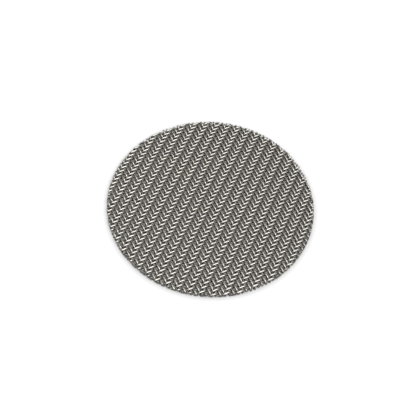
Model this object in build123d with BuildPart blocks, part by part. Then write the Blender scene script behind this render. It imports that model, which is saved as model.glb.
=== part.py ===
# Heater protector screen: a round disc punched from stainless wire cloth, woven two over, two under.
# The cloth is one wall. Each float of wire is a roof-shaped rib, and the floats join corner to corner
# into zigzag ridges on both faces. A spread of the cloth's openings goes right through.
from build123d import *
from math import ceil, hypot
import os

# Driving dimensions in millimetres
disc_diameter = 22.0
wire_diameter = 0.22
warp_pitch = 0.437  # spacing of the warp wires, which run along Y
weft_pitch = 0.382  # spacing of the weft wires, which run along X
float_length = 2  # pitches that a wire runs on one face before it goes under
web_thickness = 0.10  # wall left between the two faces at the bottom of the valleys
nearest_corner = (-0.28, 0.03)  # ridge corner nearest to the disc's centre
edge_thickness = 0.08  # round sheared edge, midway between the faces
wire_setback = 0.04  # how far the wire ends stop short of that edge
rim_cuts = 48  # short straight cuts that trim the wire ends
open_every = 8  # wires from one open mesh to the next, each way
rim_margin = 0.6  # cloth kept between an open mesh's centre and the rim

# Sizes that follow from them
thickness = 2 * wire_diameter
mid_height = thickness / 2
disc_radius = disc_diameter / 2
rib_spacing = hypot(warp_pitch, weft_pitch)
twill_line = Vector(warp_pitch, weft_pitch) / rib_spacing
across_twill = Vector(weft_pitch, -warp_pitch) / rib_spacing
weft_float = Vector(float_length * warp_pitch, 0)
warp_float = Vector(0, -float_length * weft_pitch)

# A ridge climbs down the disc in steps, one weft float and one warp float to a step.
# The steps drift sideways, so each row of ribs is that much longer than the disc is wide.
step = weft_float + warp_float
step_count = ceil(disc_radius / step.dot(across_twill)) + 1
drift = abs(step.dot(twill_line)) * step_count
half_ribs = ceil((disc_radius + drift) / rib_spacing) + 1
first_corner = Vector(*nearest_corner, mid_height)
weft_starts = [first_corner + step * n for n in range(-step_count, step_count)]
warp_starts = [corner + weft_float for corner in weft_starts]

# Section of the upper half of the cloth along a twill line: a rib on every wire crossing
crests = [(n * rib_spacing, thickness / 2) for n in range(-half_ribs, half_ribs + 1)]
valleys = [((n + 0.5) * rib_spacing, web_thickness / 2) for n in range(-half_ribs, half_ribs)]
row_end = half_ribs * rib_spacing
rib_row = [(-row_end, 0), *sorted(crests + valleys), (row_end, 0)]


def planes_on_twill_lines(corners):
    return [Plane(origin=corner, x_dir=twill_line, z_dir=across_twill) for corner in corners]


with BuildPart() as cloth:
    # Bands of weft floats
    with BuildSketch(*planes_on_twill_lines(weft_starts)):
        with BuildLine():
            Polyline(*rib_row, close=True)
        make_face()
    extrude(amount=weft_float.length, dir=weft_float)

    # Bands of warp floats between them
    with BuildSketch(*planes_on_twill_lines(warp_starts)):
        with BuildLine():
            Polyline(*rib_row, close=True)
        make_face()
    extrude(amount=warp_float.length, dir=warp_float)

    # The underside is the same weave, moved on so that a weft float lies under each warp float
    underside = mirror(cloth.part, about=Plane.XY.offset(mid_height), mode=Mode.PRIVATE)
    with Locations((warp_pitch, -weft_pitch)):
        add(underside)

# The open meshes sit midway between wires, on a grid about the one nearest to the centre
middle_mesh = Vector(*nearest_corner) + Vector(warp_pitch, weft_pitch) / 2
grid_count = 2 * ceil(disc_radius / (open_every * weft_pitch)) + 1
mesh_grid = GridLocations(open_every * warp_pitch, open_every * weft_pitch, grid_count, grid_count)
open_meshes = [middle_mesh + spot.position for spot in mesh_grid]
open_meshes = [centre for centre in open_meshes if centre.length < disc_radius - rim_margin]

with BuildPart() as mesh_disc:
    # Wire ends, trimmed all round
    with BuildSketch():
        RegularPolygon(disc_radius - wire_setback, rim_cuts)
    extrude(amount=thickness)

    # Sheared edge, true round, which seats in the heater's bore
    with BuildSketch(Plane.XY.offset(mid_height)):
        Circle(disc_radius)
    extrude(amount=edge_thickness / 2, both=True)

    # Open meshes
    with BuildSketch():
        with Locations(*open_meshes):
            Rectangle(warp_pitch - wire_diameter, weft_pitch - wire_diameter)
    extrude(amount=thickness, mode=Mode.SUBTRACT)

    # The weave on both faces
    add(cloth.part, mode=Mode.INTERSECT)

mesh_disc.part.label = "mesh_disc"
os.makedirs("parts", exist_ok=True)
export_step(mesh_disc.part, "parts/mesh_disc.step")
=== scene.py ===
# Heater protector screen: a disc punched from stainless wire cloth, woven two over, two under.
# Every wire of the cloth is its own crimped round wire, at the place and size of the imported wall.
import math
import random

import bmesh
import bpy
from mathutils import Matrix, Vector, noise


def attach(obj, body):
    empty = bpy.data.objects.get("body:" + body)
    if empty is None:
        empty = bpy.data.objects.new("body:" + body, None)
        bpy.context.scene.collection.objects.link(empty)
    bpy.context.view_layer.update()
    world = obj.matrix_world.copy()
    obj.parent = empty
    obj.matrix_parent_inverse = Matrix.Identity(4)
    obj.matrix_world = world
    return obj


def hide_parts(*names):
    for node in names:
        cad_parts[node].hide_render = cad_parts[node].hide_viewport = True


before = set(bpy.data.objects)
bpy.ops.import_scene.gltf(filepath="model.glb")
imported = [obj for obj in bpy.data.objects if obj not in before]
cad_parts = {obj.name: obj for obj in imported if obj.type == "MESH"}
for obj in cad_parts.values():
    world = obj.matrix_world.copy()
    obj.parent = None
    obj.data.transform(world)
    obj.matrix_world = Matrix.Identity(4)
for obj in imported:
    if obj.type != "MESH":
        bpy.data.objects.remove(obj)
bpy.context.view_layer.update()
mm = 0.001
print("frame loaded:", *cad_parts)

cloth = {
    "discRadius": 11.0 * mm,
    "wireRadius": 0.11 * mm,
    "warpPitch": 0.437 * mm,  # spacing of the wires that run along Y
    "weftPitch": 0.382 * mm,  # spacing of the wires that run along X
    "middleWarp": -0.28 * mm,  # X of warp wire 0, left of the disc's centre
    "middleWeft": 0.03 * mm,  # Y of weft wire 0
    "turn": 4,  # crossings in one turn of the weave: two over, two under
    "crown": 0.2,  # fullness of a float's ends: 0 is a plain wave, 0.125 lies flat, more dips in the middle
    "sides": 8,  # sides of a wire's round section
    "ringsPerPitch": 5,  # rings along a wire from one crossing to the next
    "spareCrossings": 12,  # crossings by which a wire is longer than the disc before it is cut
}

rim = {
    "cutRadius": 10.985 * mm,  # where the punch shears the wires
    "leastInside": 0.4,  # a wire stays if its middle is this share of its radius inside the cut
    "burrBevel": 0.012 * mm,  # worn edge round each sheared end
    "rollWidth": 0.6 * mm,  # how far in from the rim the punch presses the cloth down
    "rollDepth": 0.06,  # share of its height that the cloth loses at the rim
}

wander = {
    "seed": 11,
    "wireShift": 0.006 * mm,  # how far single wires stand out of line
    "heightSpread": 0.03,  # how much the crimp differs from wire to wire
    "drift": 0.028 * mm,  # slow drift of the weave across the disc
    "driftScale": 3.4 * mm,  # distance over which the drift changes
    "rimHold": 6,  # how late the drift fades towards the rim, which stays round
}
noise.seed_set(wander["seed"])  # otherwise Blender's noise takes its seed from the clock


def wave(turns):
    # Height of a wire in wire radii, before waveScale. The middle of a float on top is at 0 turns
    plain = math.cos(2 * math.pi * turns)
    third = math.cos(6 * math.pi * turns)
    return (1 + cloth["crown"]) * plain - cloth["crown"] * third


waveSteps = 200  # steps in which a turn is searched for its highest point
waveScale = 1 / max(abs(wave(n / waveSteps)) for n in range(waveSteps))


def crimpedWire(pitch, length, heightShare):
    # One wire along Y, crimped over its whole length, with the middle of a float at the origin
    strand = bmesh.new()
    bmesh.ops.create_circle(strand, segments=cloth["sides"], radius=cloth["wireRadius"])
    standUp = Matrix.Rotation(math.radians(90), 3, "X") @ Matrix.Rotation(math.pi / cloth["sides"], 3, "Z")
    bmesh.ops.rotate(strand, verts=strand.verts, cent=(0, 0, 0), matrix=standUp)
    bmesh.ops.translate(strand, verts=strand.verts, vec=(0, -length / 2, 0))
    pulled = bmesh.ops.extrude_edge_only(strand, edges=strand.edges)["geom"]
    farEnd = [part for part in pulled if isinstance(part, bmesh.types.BMVert)]
    bmesh.ops.translate(strand, verts=farEnd, vec=(0, length, 0))
    lengthwise = [edge for edge in strand.edges if edge.calc_length() > length / 2]
    rings = round(length / pitch * cloth["ringsPerPitch"])
    bmesh.ops.subdivide_edges(strand, edges=lengthwise, cuts=rings - 1, use_grid_fill=True)

    turnLength = cloth["turn"] * pitch
    height = waveScale * cloth["wireRadius"] * heightShare
    step = pitch / 100  # distance over which the slope is taken
    for vert in strand.verts:
        here = height * wave(vert.co.y / turnLength)
        ahead = height * wave((vert.co.y + step) / turnLength)
        slope = math.atan2(ahead - here, step)
        lift = vert.co.z  # the section turns with the slope, so the wire keeps its thickness
        vert.co.y -= lift * math.sin(slope)
        vert.co.z = here + lift * math.cos(slope)
    return strand


def trimAtRim(strand, middle, along):
    # Shear both ends where the wire's line meets the punch's circle, then close them and break their edges
    reach = math.sqrt(max(rim["cutRadius"] ** 2 - middle.length ** 2, 0))
    for side in (-1, 1):
        corner = middle + along * reach * side
        everything = [*strand.verts, *strand.edges, *strand.faces]
        cut = bmesh.ops.bisect_plane(strand, geom=everything, plane_co=corner, plane_no=corner.normalized(),
                                     clear_outer=True)["geom_cut"]
        edges = [part for part in cut if isinstance(part, bmesh.types.BMEdge)]
        bmesh.ops.edgeloop_fill(strand, edges=edges)
        bmesh.ops.bevel(strand, geom=edges, offset=rim["burrBevel"], offset_type="OFFSET", segments=1,
                        profile=0.5, affect="EDGES", material=-1, clamp_overlap=True)


def weaveSet(pitch, crossPitch, middleWire, middleCrossing, alongX, floatMiddle):
    # All the wires of one direction. They are made along Y, and X and Y are then swapped for the weft
    chance = random.Random(wander["seed"] + int(alongX))
    length = 2 * cloth["discRadius"] + cloth["spareCrossings"] * crossPitch
    count = math.ceil(cloth["discRadius"] / pitch) + 1
    farthest = rim["cutRadius"] - rim["leastInside"] * cloth["wireRadius"]
    halfTurn = cloth["turn"] / 2
    swap = Matrix(((0, 1, 0), (1, 0, 0), (0, 0, 1))).to_4x4()
    wires = bmesh.new()
    scrap = bpy.data.meshes.new("scrap")
    for number in range(-count, count + 1):
        place = middleWire + number * pitch
        if abs(place) > farthest:
            continue
        strand = crimpedWire(crossPitch, length, 1 - wander["heightSpread"] * chance.random())
        crossing = (floatMiddle(number) + halfTurn) % cloth["turn"] - halfTurn
        slide = crossing * crossPitch + middleCrossing
        sideways = place + chance.gauss(0, 1) * wander["wireShift"]
        bmesh.ops.translate(strand, verts=strand.verts, vec=(sideways, slide, 0))
        if alongX:
            bmesh.ops.transform(strand, matrix=swap, verts=strand.verts)
            trimAtRim(strand, Vector((0, sideways, 0)), Vector((1, 0, 0)))
        else:
            trimAtRim(strand, Vector((sideways, 0, 0)), Vector((0, 1, 0)))
        strand.to_mesh(scrap)
        strand.free()
        wires.from_mesh(scrap)
    bpy.data.meshes.remove(scrap)
    return wires


def settle(wires):
    # The weave's slow drift, the height of the cloth above the floor, and the punch's roll at the rim
    middleHeight = 2 * cloth["wireRadius"]
    rollStart = rim["cutRadius"] - rim["rollWidth"]
    for vert in wires.verts:
        spot = Vector((vert.co.x, vert.co.y, 0))
        free = max(0.0, 1 - (spot.length / rim["cutRadius"]) ** wander["rimHold"])
        flow = noise.noise_vector(spot / wander["driftScale"])
        vert.co.x += flow.x * wander["drift"] * free
        vert.co.y += flow.y * wander["drift"] * free
        vert.co.z += middleHeight
        rolled = min(max(0.0, spot.length - rollStart) / rim["rollWidth"], 1.0)
        vert.co.z *= 1 - rim["rollDepth"] * rolled ** 2
    bmesh.ops.recalc_face_normals(wires, faces=wires.faces)


def linear(hexColour):
    parts = [int(hexColour[i:i + 2], 16) / 255 for i in (1, 3, 5)]
    return (*[p / 12.92 if p <= 0.04045 else ((p + 0.055) / 1.055) ** 2.4 for p in parts], 1)


def addNode(tree, kind, settings=None, links=None):
    node = tree.nodes.new(kind)
    for key, value in (settings or {}).items():
        if isinstance(key, int) or key in node.inputs:
            node.inputs[key].default_value = value
        else:
            setattr(node, key, value)
    for key, source in (links or {}).items():
        tree.links.new(source, node.inputs[key])
    return node


def newMaterial(name):
    material = bpy.data.materials.new(name)
    material.use_nodes = True
    material.node_tree.nodes.clear()
    return material, material.node_tree


wire = {
    "crestColour": "#e0dcd4",  # steel at the tops of the wires, lighter than the painted shade below
    "valleyShadeColour": "#625e57",  # painted shade, low in the cloth where the wires cross
    "shearedColour": "#73716c",  # torn metal on the cut ends
    "shadeHeight": (0.2 * mm, 0.4 * mm),  # between these heights the colour goes from the painted shade low in the cloth to the steel at the crests
    "shearedRadius": (10.91 * mm, 10.97 * mm),  # between these it goes over to the cut ends
    "roughness": 0.26,
    "shearedRoughness": 0.5,
    "drawLines": 0.03 * mm,  # drawing lines are finer than this, and are drawn this coarse to show
    "lineLength": 50,  # how many times as long as wide a drawing line is
    "lineDepth": 0.002 * mm,
    "lineStrength": 0.15,
}
colourA, colourB = 6, 7  # the two colour inputs of a Mix node
mixedColour = 2  # and its colour output


def drawnStainless(name, alongX):
    # Drawn 304 stainless wire, semi-bright: fine lines run along it, painted shade darkens the valleys
    # below the crests, and the sheared ends are darker and duller
    material, tree = newMaterial(name)
    place = addNode(tree, "ShaderNodeTexCoord").outputs["Object"]

    across = 1 / wire["drawLines"]
    along = across / wire["lineLength"]
    stretch = (along, across, across) if alongX else (across, along, across)
    lines = addNode(tree, "ShaderNodeMapping", {"Scale": stretch}, {"Vector": place})
    grain = addNode(tree, "ShaderNodeTexNoise", {"Scale": 1.0, "Detail": 2.0}, {"Vector": lines.outputs[0]})
    bump = addNode(tree, "ShaderNodeBump",
                   {"Strength": wire["lineStrength"], "Distance": wire["lineDepth"]},
                   {"Height": grain.outputs[0]})

    # Painted shade: the colour darkens from the crests down to the low parts of the cloth, where the wires
    # cross
    height = addNode(tree, "ShaderNodeSeparateXYZ", None, {"Vector": place}).outputs["Z"]
    low, high = wire["shadeHeight"]
    crest = addNode(tree, "ShaderNodeMapRange", {"From Min": low, "From Max": high}, {"Value": height})
    shadedSteel = addNode(tree, "ShaderNodeMix",
                    {"data_type": "RGBA", colourA: linear(wire["valleyShadeColour"]),
                     colourB: linear(wire["crestColour"])}, {0: crest.outputs[0]})

    flat = addNode(tree, "ShaderNodeVectorMath", {"operation": "MULTIPLY", 1: (1, 1, 0)}, {0: place})
    radius = addNode(tree, "ShaderNodeVectorMath", {"operation": "LENGTH"}, {0: flat.outputs[0]})
    inner, outer = wire["shearedRadius"]
    sheared = addNode(tree, "ShaderNodeMapRange", {"From Min": inner, "From Max": outer},
                      {"Value": radius.outputs["Value"]})
    colour = addNode(tree, "ShaderNodeMix", {"data_type": "RGBA", colourB: linear(wire["shearedColour"])},
                     {0: sheared.outputs[0], colourA: shadedSteel.outputs[mixedColour]})
    roughness = addNode(tree, "ShaderNodeMapRange",
                        {"To Min": wire["roughness"], "To Max": wire["shearedRoughness"]},
                        {"Value": sheared.outputs[0]})

    steel = addNode(tree, "ShaderNodeBsdfPrincipled", {"Metallic": 1.0},
                    {"Base Color": colour.outputs[mixedColour], "Roughness": roughness.outputs[0],
                     "Normal": bump.outputs[0]})
    addNode(tree, "ShaderNodeOutputMaterial", None, {"Surface": steel.outputs[0]})
    return material


def makePiece(name, wires, material):
    settle(wires)
    mesh = bpy.data.meshes.new(name)
    wires.to_mesh(mesh)
    wires.free()
    for face in mesh.polygons:
        face.use_smooth = len(face.vertices) <= 4  # the flat sheared ends have more corners
    piece = bpy.data.objects.new(name, mesh)
    piece.data.materials.append(material)
    bpy.context.scene.collection.objects.link(piece)
    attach(piece, "root")
    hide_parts("mesh_disc")
    print(name, len(mesh.polygons), "faces")


# A float covers two crossings. These give the middle of one, counted in the wires that it crosses
warp = weaveSet(cloth["warpPitch"], cloth["weftPitch"], cloth["middleWarp"], cloth["middleWeft"],
                False, lambda number: number - 2.5)
weft = weaveSet(cloth["weftPitch"], cloth["warpPitch"], cloth["middleWeft"], cloth["middleWarp"],
                True, lambda number: number + 0.5)
makePiece("warp_wires", warp, drawnStainless("drawn stainless warp wire", False))
makePiece("weft_wires", weft, drawnStainless("drawn stainless weft wire", True))
print("cloth woven")

sheet = {
    "colour": "#f2f2f2",
    "backing": 0.36,  # how much brighter the sheet shows to the camera and in gloss than it is lit
    "backingFrom": 10.8 * mm,  # under the disc there is none, so that its openings stay dark
    "backingFull": 11.6 * mm,
    "halfWidth": 1.5,  # metres
}


def whiteSheet():
    # Matt white sheet. Its backing glows for the camera and in reflections only, and the shadow stays
    material, tree = newMaterial("matt white sheet")
    paper = addNode(tree, "ShaderNodeBsdfDiffuse", {"Color": linear(sheet["colour"])})
    path = addNode(tree, "ShaderNodeLightPath").outputs
    seen = addNode(tree, "ShaderNodeMath", {"operation": "MAXIMUM"},
                   {0: path["Is Camera Ray"], 1: path["Is Glossy Ray"]})
    seenThrough = addNode(tree, "ShaderNodeMath", {"operation": "MAXIMUM"},
                          {0: seen.outputs[0], 1: path["Is Transmission Ray"]})
    place = addNode(tree, "ShaderNodeTexCoord").outputs["Object"]
    radius = addNode(tree, "ShaderNodeVectorMath", {"operation": "LENGTH"}, {0: place})
    backing = addNode(tree, "ShaderNodeMapRange",
                      {"From Min": sheet["backingFrom"], "From Max": sheet["backingFull"],
                       "To Max": sheet["backing"]}, {"Value": radius.outputs["Value"]})
    strength = addNode(tree, "ShaderNodeMath", {"operation": "MULTIPLY"},
                       {0: seenThrough.outputs[0], 1: backing.outputs[0]})
    glow = addNode(tree, "ShaderNodeEmission", {"Color": (1, 1, 1, 1)}, {"Strength": strength.outputs[0]})
    both = addNode(tree, "ShaderNodeAddShader", None, {0: paper.outputs[0], 1: glow.outputs[0]})
    addNode(tree, "ShaderNodeOutputMaterial", None, {"Surface": both.outputs[0]})
    return material


ground = bmesh.new()
bmesh.ops.create_grid(ground, x_segments=1, y_segments=1, size=sheet["halfWidth"])
floorMesh = bpy.data.meshes.new("floor")
ground.to_mesh(floorMesh)
ground.free()
floorMesh.materials.append(whiteSheet())
floor = bpy.data.objects.new("floor", floorMesh)
bpy.context.scene.collection.objects.link(floor)
print("floor laid")

light = {
    "worldLevel": 0.26,
    "lampPower": 0.79,  # share of a white floor's full light that the lamp gives
    "lampWidth": 1.3,  # metres
    "lampLength": 2.3,
    "lampDistance": 1.4,
    "lampDirection": (0.06, -0.2, 1.0),
}

# A plain grey room and one long soft lamp overhead
world = bpy.data.worlds.new("plain room")
bpy.context.scene.world = world
world.use_nodes = True
world.node_tree.nodes["Background"].inputs["Color"].default_value = (1, 1, 1, 1)
world.node_tree.nodes["Background"].inputs["Strength"].default_value = light["worldLevel"]
lampData = bpy.data.lights.new("softbox", "AREA")
lampData.shape = "ELLIPSE"
lampData.size = light["lampWidth"]
lampData.size_y = light["lampLength"]
lampArea = math.pi * light["lampWidth"] * light["lampLength"] / 4
# A white floor under this lamp alone shows at lampPower
radiance = light["lampPower"] * math.pi * light["lampDistance"] ** 2 / lampArea
lampData.energy = radiance * math.pi * lampArea
lamp = bpy.data.objects.new("softbox", lampData)
away = Vector(light["lampDirection"]).normalized()
lamp.location = away * light["lampDistance"]
lamp.rotation_euler = away.to_track_quat("Z", "Y").to_euler()
bpy.context.scene.collection.objects.link(lamp)
print("lamp hung")

camera = {
    "aim": (-0.468 * mm, -0.76 * mm, 0.4 * mm),
    "distance": 91.1 * mm,
    "azimuth": 29.56,  # degrees that the view is turned from +Y towards +X
    "elevation": 57.25,
    "roll": 5.02,
    "lens": 73.9,  # millimetres, as Blender counts a lens and its sensor
    "sensorWidth": 36,
    "nearClip": 1 * mm,
}

# The photograph's own viewpoint, worked out from the weave's lattice
lens = bpy.data.cameras.new("camera")
lens.lens = camera["lens"]
lens.sensor_width = camera["sensorWidth"]
lens.clip_start = camera["nearClip"]
view = bpy.data.objects.new("camera", lens)
azimuth = math.radians(camera["azimuth"])
elevation = math.radians(camera["elevation"])
back = Vector((-math.sin(azimuth) * math.cos(elevation), -math.cos(azimuth) * math.cos(elevation),
               math.sin(elevation)))
rolled = Matrix.Rotation(math.radians(camera["roll"]), 3, "Z").to_quaternion()
view.rotation_mode = "QUATERNION"
view.rotation_quaternion = back.to_track_quat("Z", "Y") @ rolled
view.location = Vector(camera["aim"]) + back * camera["distance"]
bpy.context.scene.collection.objects.link(view)
bpy.context.scene.camera = view
print("camera set")

bpy.context.scene.view_settings.view_transform = "Standard"
